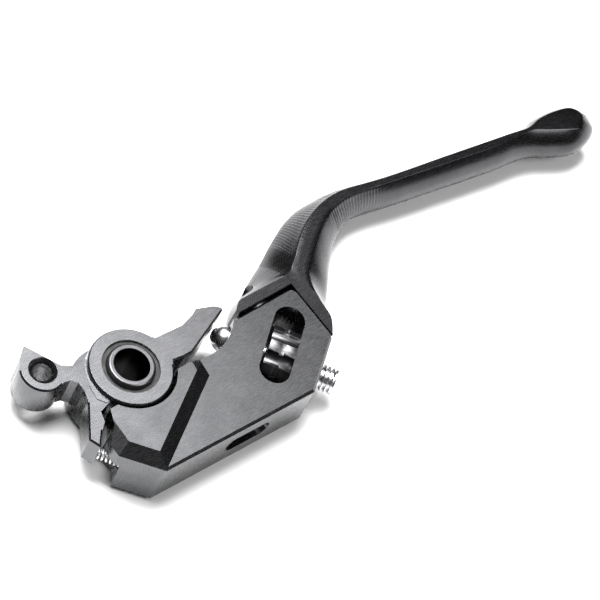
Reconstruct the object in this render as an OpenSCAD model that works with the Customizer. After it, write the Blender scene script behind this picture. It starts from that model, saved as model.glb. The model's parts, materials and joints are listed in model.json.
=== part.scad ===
// Adjustable, folding clutch lever for a left handlebar control.
// Z up. Origin on the pivot axis, at the underside of the lever body.
// +X runs out to the finger blade, -Y faces forward, +Y faces the handlebar.

/* [Pivot] */
// Diameter of the pivot bolt the lever turns on
pivot_bolt_d = 8; // [6:0.5:9]
// Outside diameter of the hardened pivot bush
bush_d = 11; // [10.5:0.1:11.5]
// Height of the top of the pivot bush
bush_top = 15; // [14.6:0.1:16]

/* [Stop ring] */
// Outside radius of the stop ring
ring_r = 9.7; // [9.4:0.1:9.9]
// Height of the top face of the stop ring
ring_top = 14.2; // [13.6:0.1:14.4]
// Length of the stop arm from the pivot axis
arm_len = 28; // [27:0.5:29]

/* [Lever body] */
// Thickness of the lever body
body_h = 12.2; // [12:0.1:12.6]
// Rise of the jaw plate above the body
jaw_rise = 2; // [1.5:0.1:3]
// Clearance radius of the jaw round the stop ring
jaw_r = 10.5; // [10.3:0.1:10.8]
// Forward face of the body, distance from the pivot axis
front_y = 25; // [24:0.5:27]
// Length of the lightening slot in the front face
front_slot_l = 12.3; // [8:0.1:14]
// Height of the lightening slot
front_slot_h = 4.6; // [2:0.2:5]

/* [Adjuster] */
// Radius of the adjuster wheel over its lobes
wheel_r = 7.2; // [6.6:0.1:7.6]
// Thickness of the adjuster wheel
wheel_t = 6.3; // [5:0.1:6.4]
// Number of finger scallops round the wheel
wheel_lobes = 8; // [6:1:10]
// Diameter of the spindle ball
ball_d = 6.2; // [6:0.1:6.3]
// Thread diameter of the spindle
spindle_d = 6; // [5.6:0.1:6]

/* [Push arm] */
// Radius of the rounded hook end
hook_r = 5.2; // [5:0.1:5.6]
// Diameter of the hook's tapped hole
hook_hole_d = 5; // [4:0.5:6]

/* [Blade] */
// Distance from the pivot axis to the far end of the blade
blade_reach = 148; // [140:1:160]
// Diameter of the fold pivot shoulder
fold_pin_d = 4; // [3.6:0.1:4.4]

/* [Hidden] */
$fn = 96;
eps = 0.02;
big = 200;
run_gap = 0.04;
bush_chamfer = 0.45;
rim_bevel = 0.4;
bevel_lap = 0.05;
seal_lip_r = 5.95;
seal_seat_r = 7.4;
seal_top = 0.7;
seal_h = 1.2;
part_gap = 0.35;

black = [0.09, 0.09, 0.10];
dark = [0.14, 0.14, 0.15];
steel = [0.70, 0.71, 0.72];
silver = [0.62, 0.63, 0.65];
bronze = [0.66, 0.50, 0.28];
rubber = [0.05, 0.05, 0.05];

hub_r = 11.5;
hub_h = 3.8;
bearing_wall = 1.1;
ring_bottom = hub_h + 0.35;
push_bottom = 5.4;
push_top = 13;
hook_bottom = 4.2;
hub_bore_r = bush_d / 2 + run_gap + bearing_wall;

// Adjuster axis: from the ball outwards, 54 degrees forward of +X.
axis_a = -54;
ball_c = [28.1, -2.1];
axis_z = body_h / 2;
wheel_at = 12.6;
wheel_turn = -32;
grub_d = 2.5;
// where the spindle leaves the body, and how far its stud stands out
stud_at = 22.5;
stud_out = 4.6;
key_at = 19.3;
seal_at = 20.9;
seal_w = 1.1;
seal_r = 3.9;
detent_side = -5.2;
detent_at = 0.9;
detent_d = 2.6;
slot_w = 7.2;
slot_l = 21;

// The preload spring lies parallel to the adjuster, between lug and body.
spring_c = [-16.1, -10.55];
spring_z = 7;
spring_d = 2.6;
spring_wire = 0.6;
spring_seat = 1;
spring_gap = 5.5;
spring_in = 1.2;
recess_top = 8.5;

// Fold joint between body and blade.
fold_x = 38.5;
fold_z = 7.6;
flank_y = -1.25;
ear_y = -0.7;
tip_x = 47;
tip_gap = 0.45;
tip_turn_r = sqrt(pow(tip_x - fold_x, 2) + pow(body_h - fold_z, 2)) + 0.25;
fold_head_d = 5.4;
fold_head_y = 3.3;
fold_thread_d = 3.4;
fold_tip_y = -4.7;

hook_c = [-17.2, 9.3];
dowel_c = [-10.9, -0.6];
dowel_d = 1.5;
dowel_l = 6;
arm_edge = [[9.3, -3.5], [12, -3.9], [14.6, -3.9], [27.2, 1.08]];
lug_edge = [[-13.3, -2.0], [-15.9, -5.6], [-18.7, -9.4], [-17.6, -12.1], [-14.7, -9.0]];
// Lobe that keys the push arm to the stop ring.
lobe = [[-8, 1.8], [-10.6, 1.2], [-11.1, -2.4], [-9.8, -4.2], [-7, -4]];

// Foot of the jaw plate's slopes, anticlockwise from its inboard end.
jaw_foot = [[-15.0, -12.6], [-15.1, -15.6], [-8.2, -23.8], [15.4, -9.9], [16.2, -4]];
jaw_slope = 33;
edge_chamfer = 0.6;
lobe_drop = 1;
key_d = 1.6;
flat_x = 2.6;
buffer_d = 3;
ear_slope = 50;
ear_edge = [[50.4, 2.6], [33, 2.1]];
front_edge = [[-8.4, -23.7], [34.4, -front_y], [tip_x, -16.3]];

module tube(r_out, r_in, z0, z1) {
    translate([0, 0, z0])
        difference() {
            cylinder(r = r_out, h = z1 - z0);
            translate([0, 0, -1])
                cylinder(r = r_in, h = z1 - z0 + 2);
        }
}

// Cutter that bevels the top rim of a round boss between two angles.
module rim_cut(r, top, from, to) {
    middle = (from + to) / 2;
    intersection() {
        difference() {
            translate([0, 0, top - rim_bevel])
                cylinder(r = r + 1, h = rim_bevel + 1);
            translate([0, 0, top - rim_bevel - eps])
                cylinder(r1 = r + eps, r2 = r - rim_bevel - 1, h = rim_bevel + 1 + 2 * eps);
        }
        translate([0, 0, top - 5])
            linear_extrude(10)
                polygon([[0, 0], rim_corner(from), rim_corner((from + middle) / 2), rim_corner(middle),
                    rim_corner((middle + to) / 2), rim_corner(to)]);
    }
}

function rim_corner(a) = [40 * cos(a), 40 * sin(a)];

// Cutter that bevels the top edges along a run of corners; the part lies to its left.
module edge_bevel(corners, top) {
    for (i = [0 : len(corners) - 2]) {
        step = corners[i + 1] - corners[i];
        translate([corners[i][0], corners[i][1], top - rim_bevel])
            rotate([0, 0, atan2(step[1], step[0])])
                rotate([45, 0, 0])
                    translate([-bevel_lap, -1, 0])
                        cube([norm(step) + 2 * bevel_lap, 1 + rim_bevel * sqrt(2), 2]);
    }
}

// Places children with local +Z along the adjuster axis, starting at the ball centre.
module on_adjuster() {
    translate([ball_c[0], ball_c[1], axis_z])
        rotate([0, 0, axis_a])
            rotate([0, 90, 0])
                children();
}

module on_spring() {
    translate([spring_c[0], spring_c[1], spring_z])
        rotate([0, 0, axis_a])
            rotate([0, 90, 0])
                children();
}

// Places children with local +Z along -Y on the fold axis.
module on_fold() {
    translate([fold_x, 0, fold_z])
        rotate([90, 0, 0])
            children();
}

// ---- pivot ----
module pivot_bush() {
    color(steel)
        difference() {
            union() {
                cylinder(d = bush_d, h = bush_top - bush_chamfer);
                translate([0, 0, bush_top - bush_chamfer])
                    cylinder(d1 = bush_d, d2 = bush_d - 2 * bush_chamfer, h = bush_chamfer);
            }
            translate([0, 0, -1])
                cylinder(d = pivot_bolt_d, h = bush_top + 2);
        }
}

module dust_seal() {
    color(rubber)
        tube(seal_seat_r, bush_d / 2 + run_gap, ring_top - seal_top - seal_h, ring_top - seal_top);
}

// ---- actuator ----
module ring_plan() {
    circle(r = ring_r);
    polygon([[0, 6.6], [7.2, 3.2], [16.7, 2.6], [20.2, 3.5], [22.2, 4.4], [26.2, 3.0],
        [arm_len - 0.5, 1.9], [arm_len - 0.4, 1.23], [14.6, -3.9], [12, -3.9], [8.6, -3.4],
        [0, -6.6]]);
}

module stop_ring() {
    color(black)
        difference() {
            union() {
                translate([0, 0, ring_bottom])
                    linear_extrude(ring_top - ring_bottom)
                        ring_plan();
                // driving lobe towards the push arm
                translate([0, 0, push_bottom])
                    linear_extrude(ring_top - lobe_drop - push_bottom)
                        polygon(lobe);
            }
            translate([0, 0, -1])
                cylinder(r = hub_bore_r, h = 30);
            // seal groove behind a lip round the bush
            translate([0, 0, ring_top - seal_top - seal_h])
                cylinder(r = seal_seat_r, h = seal_h);
            translate([0, 0, ring_top - seal_top - eps])
                cylinder(r = seal_lip_r, h = 5);
            // broken edges, round the rim and along the arm
            rim_cut(ring_r, ring_top, 22, 334);
            edge_bevel(arm_edge, ring_top);
            drive_dowel_cut();
        }
}

module drive_dowel_cut() {
    translate([dowel_c[0], dowel_c[1], push_bottom - 1])
        cylinder(d = dowel_d, h = dowel_l + 1);
}

module ring_bearing_upper() {
    color(bronze)
        tube(hub_bore_r, bush_d / 2 + run_gap, 9, ring_top - seal_top - seal_h);
}

module ring_bearing_lower() {
    color(bronze)
        tube(hub_bore_r, bush_d / 2 + run_gap, ring_bottom, 8);
}

module drive_dowel() {
    color(steel)
        translate([dowel_c[0], dowel_c[1], push_bottom])
            cylinder(d = dowel_d, h = dowel_l - 0.2);
}

module push_plan() {
    difference() {
        union() {
            translate(hook_c)
                circle(r = hook_r);
            polygon([[-17.2, 16.3], [-12.8, 8.1], [-10.9, 7.1], [-9.1, 6.7], [-7.0, 6.9],
                [-8, 0], [-8, -4], [-12.2, -5.2], [-13.0, -7.6], [-14.7, -9.0],
                [-17.6, -12.1], [-18.7, -9.4], [-15.9, -5.6], [-13.0, -1.6], [-12.2, 0.8],
                [-12.2, 3.0], [-13.4, 4.3], [-15.8, 4.8], [-18, 5.2], [-22.3, 8.9],
                [-21.9, 11.2], [-20.3, 13.8]]);
        }
        circle(r = ring_r + eps);
        polygon(lobe);
        // straight forward edge of the hook
        polygon([[-17.2, 16.3], [-12.8, 8.1], [-9, 8.1], [-9, 18]]);
    }
}

module push_arm() {
    color(black)
        difference() {
            union() {
                translate([0, 0, push_bottom])
                    linear_extrude(push_top - push_bottom)
                        push_plan();
                // deeper under the hook and neck
                translate([0, 0, hook_bottom])
                    linear_extrude(push_top - hook_bottom)
                        intersection() {
                            push_plan();
                            translate([-30, 2.2])
                                square([30, 20]);
                        }
            }
            translate([hook_c[0], hook_c[1], 0])
                cylinder(d = hook_hole_d, h = 30);
            translate([hook_c[0], hook_c[1], push_top - 0.8])
                cylinder(d1 = hook_hole_d, d2 = hook_hole_d + 1.6 + eps, h = 0.8 + eps);
            // broken edges, round the hook and along the lug
            translate([hook_c[0], hook_c[1], 0])
                rim_cut(hook_r, push_top, 152, 290);
            edge_bevel(lug_edge, push_top);
            // seat for the preload spring
            on_spring()
                translate([0, 0, -spring_seat])
                    cylinder(d = spring_d, h = 12);
            drive_dowel_cut();
        }
}

module preload_spring() {
    color(steel)
        on_spring()
            tube(spring_d / 2, spring_d / 2 - spring_wire, -spring_seat, spring_gap + spring_in);
}

// ---- lever body ----
module body_plan() {
    difference() {
        polygon([[-8.4, -23.7], [34.4, -front_y], [tip_x, -16.3], [tip_x, flank_y - 2.2],
            [tip_x - 2.2, flank_y], [29.4, flank_y], [26, 4], [13, 4], [6, 4], [-8, 0],
            [-12.2, -9.6], [-15.0, -12.6], [-15.1, -15.6]]);
        translate([19.2, 8])
            circle(r = 13.9);
        circle(r = jaw_r);
        // left of the ring the body stops short of the push arm
        translate([-30, -6.1])
            square([21.8, 20]);
        // right of the ring it clears the stop arm
        translate([0, -5.7])
            square([17, 20]);
    }
    translate([tip_x - 2.2, flank_y - 2.2])
        circle(r = 2.2);
}

module jaw_plan() {
    intersection() {
        body_plan();
        polygon([[-30, 10], [-18, -12], [-17, -18], [-8.5, -27], [19, -11], [19, 10]]);
    }
}

module slot_plan() {
    translate([35.3, -12.0])
        rotate([0, 0, 90 + axis_a])
            union() {
                square([slot_l - slot_w, slot_w], center = true);
                translate([(slot_l - slot_w) / 2, 0])
                    circle(d = slot_w);
                translate([-(slot_l - slot_w) / 2, 0])
                    circle(d = slot_w);
            }
}

module lever_body() {
    color(black)
        difference() {
            union() {
                linear_extrude(body_h)
                    body_plan();
                cylinder(r = hub_r, h = hub_h);
                linear_extrude(hub_h)
                    polygon([[-9, -7], [-11.6, -9.9], [-8, -20], [14, -10], [14, -5.4], [10, -5]]);
                jaw_block();
            }
            // pivot bore for the hub bearing
            translate([0, 0, -1])
                cylinder(r = hub_bore_r, h = 30);
            // open slot for the wheel
            translate([0, 0, -1])
                linear_extrude(30)
                    slot_plan();
            // spindle bore and ball pocket
            on_adjuster()
                translate([0, 0, -2])
                    cylinder(d = spindle_d + 0.2, h = 60);
            on_adjuster()
                translate([0, 0, -1])
                    cylinder(d = ball_d + 0.7, h = 5.2);
            // lightening slot in the front face
            front_slot();
            // recess and pocket for the preload spring
            difference() {
                translate([0, 0, -1])
                    linear_extrude(recess_top + 1)
                        polygon([[-22, -9], [-11.8, -9.6], [-11.8, -13.6], [-14.5, -16.9], [-22, -17.6]]);
                cylinder(r = hub_r, h = hub_h);
            }
            on_spring()
                translate([0, 0, 1])
                    cylinder(d = spring_d + 0.8, h = spring_gap + 3.4);
            // seal groove in the spindle bore
            on_adjuster()
                translate([0, 0, seal_at])
                    cylinder(r = seal_r, h = seal_w);
            // detent bore, run in beside the ball pocket as far as the wheel slot
            on_adjuster()
                detent_place()
                    translate([0, 0, -3])
                        cylinder(d = detent_d, h = wheel_at - slot_w / 2 - detent_at + 3.1);
            // key pin bore, from below
            key_place()
                translate([0, 0, -1])
                    cylinder(d = key_d, h = axis_z);
            // seat for the blade buffer
            translate([tip_x - 1.6, -11, 3.4])
                rotate([0, 90, 0])
                    cylinder(d = buffer_d, h = 5);
            // fold screw thread
            on_fold()
                translate([0, 0, -flank_y - 1])
                    cylinder(d = fold_thread_d, h = flank_y - fold_tip_y + 1);
            // broken top edges
            intersection() {
                edge_cut(front_edge[0], front_edge[1], body_h - edge_chamfer, 45);
                translate([-8, -60, 0])
                    cube([80, 60, body_h + eps]);
            }
            edge_cut(front_edge[1], front_edge[2], body_h - edge_chamfer, 45);
            intersection() {
                edge_cut([tip_x, flank_y], [fold_x, flank_y], body_h - edge_chamfer, 45);
                translate([30, -10, 0])
                    cube([30, 20, body_h + eps]);
            }
        }
}

module front_slot() {
    straight = front_slot_l - front_slot_h;
    translate([17, -front_y - 1, axis_z])
        rotate([-90, 0, 0])
            linear_extrude(6)
                union() {
                    square([straight, front_slot_h], center = true);
                    translate([straight / 2, 0])
                        circle(d = front_slot_h);
                    translate([-straight / 2, 0])
                        circle(d = front_slot_h);
                }
}

// Removes everything above a plane that rises inwards from the edge p-q at height z0.
// Taken anticlockwise, the part lies to the left of p-q.
module edge_cut(p, q, z0, slope) {
    translate([p[0], p[1], z0])
        rotate([0, 0, atan2(q[1] - p[1], q[0] - p[0])])
            rotate([slope, 0, 0])
                translate([-60, -60, 0])
                    cube([160, 120, 40]);
}

// Jaw plate: raised round the stop ring, its free edges fall away to the body.
module jaw_block() {
    difference() {
        translate([0, 0, body_h - 0.5])
            linear_extrude(jaw_rise + 0.5)
                jaw_plan();
        edge_cut(jaw_foot[0], jaw_foot[1], body_h, jaw_slope);
        edge_cut(jaw_foot[1], jaw_foot[2], body_h, jaw_slope);
        edge_cut(jaw_foot[2], jaw_foot[3], body_h, jaw_slope);
        edge_cut(jaw_foot[3], jaw_foot[4], body_h, jaw_slope);
    }
}

module hub_bearing() {
    color(bronze)
        tube(hub_bore_r, bush_d / 2 + run_gap, 0.1, hub_h);
}

module thrust_washer() {
    color(bronze)
        tube(9.2, bush_d / 2 + 0.1, hub_h, ring_bottom - 0.05);
}

// Detent: a sprung ball bears on the wheel's side face from the inboard web.
module detent_place() {
    translate([0, detent_side, detent_at])
        children();
}

module detent_ball() {
    color(steel)
        on_adjuster()
            detent_place()
                translate([0, 0, 7])
                    sphere(d = detent_d - 0.1, $fn = 48);
}

module detent_spring() {
    color(steel)
        on_adjuster()
            detent_place()
                tube(1.2, 0.8, 1.5, 6);
}

module detent_plug() {
    color(steel)
        on_adjuster()
            detent_place()
                cylinder(d = detent_d, h = 1.5);
}

// Key pin below the spindle, bearing on its flat so that it cannot turn.
module key_place() {
    translate([ball_c[0], ball_c[1], 0])
        rotate([0, 0, axis_a])
            translate([key_at, 0, 0])
                children();
}

module spindle_key() {
    color(steel)
        key_place()
            translate([0, 0, 0.4])
                cylinder(d = key_d, h = axis_z - flat_x - 0.55);
}

module spindle_seal() {
    color(rubber)
        on_adjuster()
            tube(seal_r, spindle_d / 2 + 0.05, seal_at, seal_at + seal_w);
}

// ---- adjuster ----
module on_wheel() {
    on_adjuster()
        translate([0, 0, wheel_at - wheel_t / 2])
            rotate([0, 0, wheel_turn])
                children();
}

module adjuster_wheel() {
    color(silver)
        on_wheel()
            difference() {
                cylinder(r = wheel_r, h = wheel_t);
                translate([0, 0, -1])
                    cylinder(d = spindle_d + 0.1, h = wheel_t + 2);
                for (i = [0 : wheel_lobes - 1])
                    rotate([0, 0, (i + 0.5) * 360 / wheel_lobes])
                        translate([wheel_r + 0.9, 0, -1])
                            cylinder(r = 1.9, h = wheel_t + 2);
                // shallow groove round the middle
                translate([0, 0, wheel_t / 2 - 0.5])
                    difference() {
                        cylinder(r = wheel_r + 1, h = 1);
                        translate([0, 0, -1])
                            cylinder(r = wheel_r - 0.5, h = 3);
                    }
                wheel_grub_place()
                    cylinder(d = grub_d, h = 10);
            }
}

module wheel_grub_place() {
    translate([0, 0, wheel_t / 2])
        rotate([0, -90, 0])
            translate([0, 0, spindle_d / 2 + 0.5])
                children();
}

module wheel_grub_screw() {
    color(steel)
        on_wheel()
            wheel_grub_place()
                difference() {
                    cylinder(d = grub_d, h = 2.6);
                    translate([0, 0, 1.6])
                        cylinder(d = 1.3, h = 2, $fn = 6);
                }
}

module adjuster_spindle() {
    color(steel)
        on_adjuster()
            difference() {
                union() {
                    sphere(d = ball_d, $fn = 64);
                    cylinder(d = spindle_d, h = stud_at + stud_out - 0.6);
                    translate([0, 0, stud_at + stud_out - 0.6 - eps])
                        cylinder(d1 = spindle_d, d2 = spindle_d - 1.2, h = 0.6);
                }
                // flat for the key pin
                translate([flat_x, -5, key_at - 3.3])
                    cube([5, 10, 4.4]);
            }
}

// ---- blade ----
// Section: flat top and bottom of width hi..lo, bulging to mhi..mlo at mid height.
module blade_slice(x, hi, lo, mhi, mlo, z0, z1) {
    third = (z1 - z0) * 0.36;
    translate([x, 0, 0])
        rotate([90, 0, 90])
            linear_extrude(eps)
                polygon([[lo, z1], [hi, z1], [mhi, z1 - third], [mhi, z0 + third],
                    [hi, z0], [lo, z0], [mlo, z0 + third], [mlo, z1 - third]]);
}

module blade_run() {
    far = blade_reach - 8;
    hull() {
        blade_slice(50.2, 2.6, -2.6, 9.6, -6.6, 0, body_h);
        blade_slice(57, 7.6, 3.0, 13.2, -4.6, 0, body_h);
    }
    hull() {
        blade_slice(57, 7.6, 3.0, 13.2, -4.6, 0, body_h);
        blade_slice(64, 11.6, 7.9, 16.0, 1.4, 0, body_h);
    }
    hull() {
        blade_slice(64, 11.6, 7.9, 16.0, 1.4, 0, body_h);
        blade_slice(73, 13.5, 10.8, 15.9, 7.6, 0, body_h);
    }
    hull() {
        blade_slice(73, 13.5, 10.8, 15.9, 7.6, 0, body_h);
        blade_slice(90, 10.8, 9.2, 12.2, 6.3, 0.4, body_h - 0.4);
    }
    hull() {
        blade_slice(90, 10.8, 9.2, 12.2, 6.3, 0.4, body_h - 0.4);
        blade_slice(122, 6.0, 4.2, 7.2, 1.5, 0.6, body_h - 0.6);
    }
    hull() {
        blade_slice(122, 6.0, 4.2, 7.2, 1.5, 0.6, body_h - 0.6);
        blade_slice(far - 7, 5.4, 2.2, 6.6, -1.8, 0.4, body_h - 0.4);
    }
    hull() {
        blade_slice(far - 7, 5.4, 2.2, 6.6, -1.8, 0.4, body_h - 0.4);
        blade_slice(far, 5.0, -1.2, 6.2, -4.4, 0.4, body_h - 0.4);
        blade_slice(far + 5, 2.4, -0.8, 4.6, -3.2, 1.2, body_h - 1.2);
        blade_slice(blade_reach - eps, 1.4, -0.2, 2.2, -1.0, 4, body_h - 4);
    }
}

// Side of the ear: leans out from both faces to its widest at mid height.
module ear_flare() {
    difference() {
        linear_extrude(body_h)
            polygon([[32.4, ear_y], [32.8, 2.0], [37, 4.2], [44, 6.8], [50.4, 10.2],
                [50.4, ear_y]]);
        edge_cut(ear_edge[0], ear_edge[1], body_h, ear_slope);
        translate([0, 0, body_h])
            mirror([0, 0, 1])
                edge_cut(ear_edge[0], ear_edge[1], body_h, ear_slope);
    }
}

module blade_root() {
    difference() {
        union() {
            // ear and wing, full height
            linear_extrude(body_h)
                polygon([[32.4, ear_y], [31.6, 0.5], [34.2, 2.1], [46.0, 2.0], [50.4, 2.7],
                    [53.4, 0.2], [51.6, -3.2], [50.8, -7.2], [50.2, -12.1],
                    [tip_x + tip_gap + 0.3, -15.8], [tip_x - 5, -15.8], [tip_x - 5, ear_y]]);
            ear_flare();
        }
        // room for the body tip as the blade turns up
        on_fold()
            translate([0, 0, -ear_y])
                cylinder(r = tip_turn_r, h = 30, $fn = 180);
        translate([tip_x - 20, -40, -1])
            cube([20 + tip_gap, 40 + ear_y, 30]);
    }
}

module finger_blade() {
    color(black)
        difference() {
            union() {
                intersection() {
                    blade_root();
                    // lower inboard corner is round about the fold axis
                    union() {
                        on_fold()
                            translate([0, 0, -20])
                                cylinder(r = fold_z - 0.2, h = 60);
                        translate([fold_x, -50, -1])
                            cube([60, 100, 40]);
                        translate([0, -50, fold_z])
                            cube([60, 100, 40]);
                    }
                }
                blade_run();
            }
            // bore, head seat and spring pocket
            on_fold()
                translate([0, 0, -20])
                    cylinder(d = fold_pin_d + 2 * run_gap, h = 40);
            on_fold()
                translate([0, 0, -20])
                    cylinder(d = fold_head_d + 0.4, h = 20 - 2.0);
            on_fold()
                translate([0, 0, -ear_y - 1.3])
                    cylinder(d = 7, h = 20);
        }
}

module fold_pivot_screw() {
    color(steel)
        on_fold()
            difference() {
                union() {
                    // head, shoulder, thread
                    translate([0, 0, -fold_head_y])
                        cylinder(d = fold_head_d, h = fold_head_y - 2.05);
                    translate([0, 0, -2.1])
                        cylinder(d = fold_pin_d, h = 2.1 - flank_y);
                    cylinder(d = fold_thread_d, h = -fold_tip_y - 0.1);
                }
                translate([0, 0, -fold_head_y - 1])
                    cylinder(d = 2.9, h = 1.9, $fn = 6);
            }
}

module fold_washer() {
    color(bronze)
        on_fold()
            tube(3.9, fold_pin_d / 2 + run_gap, -ear_y + 0.05, -flank_y);
}

module fold_spring() {
    color(steel)
        on_fold()
            tube(3.2, 2.5, -ear_y - 1.2, -ear_y);
}

module blade_buffer() {
    color(rubber)
        translate([tip_x - 1.6, -11, 3.4])
            rotate([0, 90, 0])
                cylinder(d = buffer_d, h = 1.7);
}

pivot_bush();
dust_seal();
stop_ring();
ring_bearing_upper();
ring_bearing_lower();
drive_dowel();
push_arm();
preload_spring();
lever_body();
hub_bearing();
thrust_washer();
detent_ball();
detent_spring();
detent_plug();
spindle_key();
adjuster_wheel();
wheel_grub_screw();
adjuster_spindle();
spindle_seal();
finger_blade();
fold_pivot_screw();
fold_washer();
fold_spring();
blade_buffer();
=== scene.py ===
"""Looks of a folding motorcycle clutch lever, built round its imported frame."""

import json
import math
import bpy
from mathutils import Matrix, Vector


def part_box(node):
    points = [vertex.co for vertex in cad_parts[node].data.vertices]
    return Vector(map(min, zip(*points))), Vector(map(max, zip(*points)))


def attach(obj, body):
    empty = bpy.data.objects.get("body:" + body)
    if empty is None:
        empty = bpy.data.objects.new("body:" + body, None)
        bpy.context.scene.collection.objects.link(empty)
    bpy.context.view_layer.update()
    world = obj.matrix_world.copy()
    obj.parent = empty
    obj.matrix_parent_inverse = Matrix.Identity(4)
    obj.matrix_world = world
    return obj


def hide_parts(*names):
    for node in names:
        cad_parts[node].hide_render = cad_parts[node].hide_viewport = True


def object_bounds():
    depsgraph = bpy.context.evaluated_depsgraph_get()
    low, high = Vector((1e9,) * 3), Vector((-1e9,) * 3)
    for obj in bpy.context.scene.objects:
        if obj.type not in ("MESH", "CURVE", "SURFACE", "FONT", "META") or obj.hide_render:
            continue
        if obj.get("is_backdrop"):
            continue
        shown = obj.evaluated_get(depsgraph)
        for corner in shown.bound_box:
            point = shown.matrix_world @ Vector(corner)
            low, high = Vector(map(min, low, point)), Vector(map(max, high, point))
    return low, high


bl_info = {
    "name": "Clutch Lever Looks",
    "version": (1, 0, 0),
    "blender": (4, 5, 0),
    "location": "View3D > Sidebar > Lever",
    "description": "Finishes, threads, springs and the finger blade of a folding clutch lever",
    "category": "Object",
}

import bmesh
import bpy
from mathutils import Matrix, Vector

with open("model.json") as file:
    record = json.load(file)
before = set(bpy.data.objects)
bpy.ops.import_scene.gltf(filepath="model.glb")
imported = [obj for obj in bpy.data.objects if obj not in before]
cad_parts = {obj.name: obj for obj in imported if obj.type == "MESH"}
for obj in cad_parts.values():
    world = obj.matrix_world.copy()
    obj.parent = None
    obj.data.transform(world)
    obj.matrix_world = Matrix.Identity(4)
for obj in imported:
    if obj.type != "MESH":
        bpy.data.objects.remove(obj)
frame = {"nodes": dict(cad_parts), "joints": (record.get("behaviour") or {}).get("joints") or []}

MM = 0.001


# ---- sizes taken from the frame ----
def node_middle(name):
    """Middle of a CAD node's box, in metres."""
    low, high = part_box(name)
    return (low + high) / 2


def joint_named(name):
    """The frame's joint of that name."""
    for joint in frame["joints"]:
        if joint["name"] == name:
            return joint
    raise RuntimeError("the frame has no joint " + name)


FOLD = Vector(joint_named("blade_fold")["pos_m"])
SPINDLE_AXIS = -Vector(joint_named("adjuster_turn")["axis"]).normalized()
WHEEL_MIDDLE = Vector(joint_named("adjuster_turn")["pos_m"])

# ---- places and sizes of the pieces, in mm ----
HOOK_MIDDLE = (-17.2, 9.3)
HOOK_THREAD_RADIUS = 2.52
HOOK_THREAD_DEPTH = 0.34
HOOK_THREAD_PITCH = 1.0
# along the spindle, from the middle of its ball
WHEEL_ALONG = 12.6
STUD_END = 27.1
THREAD_START = 4.2
FLAT_SPAN = (16.0, 20.4)
FLAT_DROP = 2.6
# radii of the ball, of the thread and of the neck between them
BALL_RADIUS = 3.1
SPINDLE_RADIUS = 3.0
NECK_RADIUS = 2.2
# round the fold axis
FOLD_RELIEF_RADIUS = 9.91
FOLD_BORE_RADIUS = 2.04
FOLD_RELIEF_START = 0.7
HEAD_SEAT_RADIUS = 2.9
HEAD_SEAT_FLOOR = 2.0
# how far the cutters reach, well past the blade
CUT_REACH = 20
# radii between which the painted shade on the wall of the bush's bore fades out
BORE_SHADE_FADE = (4.05, 4.3)
# springs: radius of the coil, thickness of the wire, and length or turns where fixed
PRELOAD_RADIUS, PRELOAD_WIRE, PRELOAD_LENGTH = 1.02, 0.54, 7.7
DETENT_RADIUS, DETENT_WIRE, DETENT_LENGTH, DETENT_TURNS = 1.0, 0.36, 4.5, 6
FOLD_RADIUS, FOLD_WIRE, FOLD_TURNS = 2.85, 0.36, 3

# ---- widths of broken edges, in metres ----
BUSH_EDGE = 0.0002
SMALL_EDGE = 0.0001
WHEEL_EDGE = 0.00035

# Points round a thread.
THREAD_SEGMENTS = 48


# ---- settings ----
class LeverSizes(bpy.types.PropertyGroup):
    """Sizes of the details that the looks add to the frame."""

    edge_round: bpy.props.FloatProperty(
        name="Edge Rounding", description="Width of the broken edges on milled pieces",
        default=0.00012, min=0.0, max=0.0006, unit="LENGTH", precision=5)
    blade_edge: bpy.props.FloatProperty(
        name="Blade Edge", description="Width of the broken edge along the blade's flat top",
        default=0.00022, min=0.0, max=0.0006, unit="LENGTH", precision=5)
    rib_pitch: bpy.props.FloatProperty(
        name="Rib Pitch", description="Distance between the cutter ribs on the blade's neck",
        default=0.00085, min=0.0005, max=0.002, unit="LENGTH", precision=5)
    rib_depth: bpy.props.FloatProperty(
        name="Rib Depth", description="Depth of the cutter ribs on the blade's neck",
        default=0.00016, min=0.0, max=0.0004, unit="LENGTH", precision=5)
    thread_pitch: bpy.props.FloatProperty(
        name="Spindle Pitch", description="Thread pitch of the adjuster spindle",
        default=0.001, min=0.0005, max=0.0015, unit="LENGTH", precision=5)
    thread_depth: bpy.props.FloatProperty(
        name="Thread Depth", description="Depth of the spindle's thread",
        default=0.00045, min=0.0001, max=0.0007, unit="LENGTH", precision=5)
    coil_turns: bpy.props.IntProperty(
        name="Preload Coils", description="Turns of the preload spring", default=9, min=5, max=16)


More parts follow.
